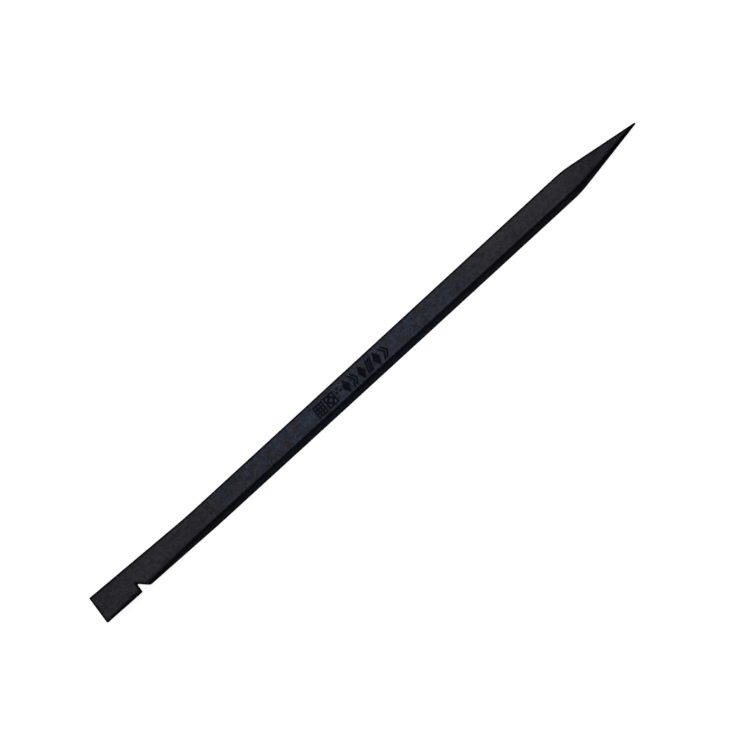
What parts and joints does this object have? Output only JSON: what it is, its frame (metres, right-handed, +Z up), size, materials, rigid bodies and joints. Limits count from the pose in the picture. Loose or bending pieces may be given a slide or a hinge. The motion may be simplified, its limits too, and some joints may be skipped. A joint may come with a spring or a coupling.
{
  "type": "spudger",
  "caption": "Slim moulded prying stick with a thin flared blade, a hooked notch in the blade's edge, a plain rectangular bar and a long tapered point.",
  "frame": {"origin": "under the middle of the whole stick, on the plane it lies on", "axes": "+X along the stick towards the point, +Y across its width away from the notched edge, +Z up through its thickness"},
  "size_m": [0.15, 0.007, 0.0041],
  "materials": {
    "black_nylon": "matte, finely spark-textured, black fibre-filled nylon"
  },
  "bodies": {
    "root": {"spudger_stick": "black_nylon"}
  },
  "joints": []
}
